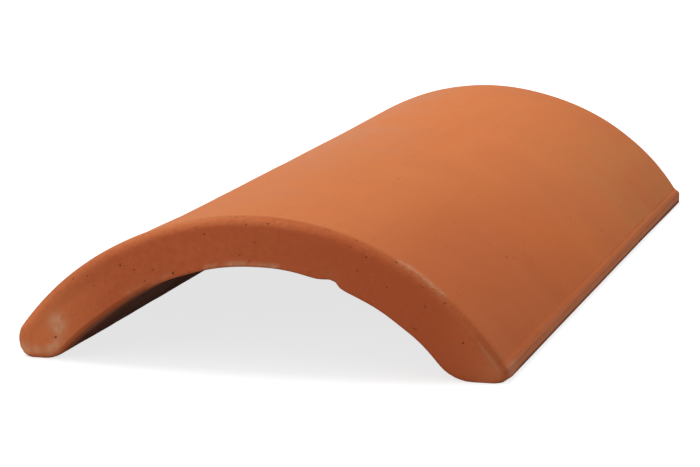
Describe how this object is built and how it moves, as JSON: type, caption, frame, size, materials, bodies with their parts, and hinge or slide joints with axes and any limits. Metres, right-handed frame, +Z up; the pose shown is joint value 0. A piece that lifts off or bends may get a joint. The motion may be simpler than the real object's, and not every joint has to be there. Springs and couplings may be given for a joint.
{
  "type": "clay roof tile",
  "caption": "Barrel roof tile of fired clay: a thick arched trough standing on two long feet, each with a small edge lip, and rounded over at its nose.",
  "frame": {"origin": "on the ground plane, midway between the two feet and midway along the tile", "axes": "+Z up through the crown, +Y along the tile from its rounded nose to its square tail, +X to the right foot seen from the nose"},
  "size_m": [0.203, 0.457, 0.06],
  "materials": {
    "fired_clay": "unglazed matt terracotta with a smoothed face, small pits, pale scuffs and faint salt marks"
  },
  "bodies": {
    "root": {"barrel_tile": "fired_clay"}
  },
  "joints": []
}
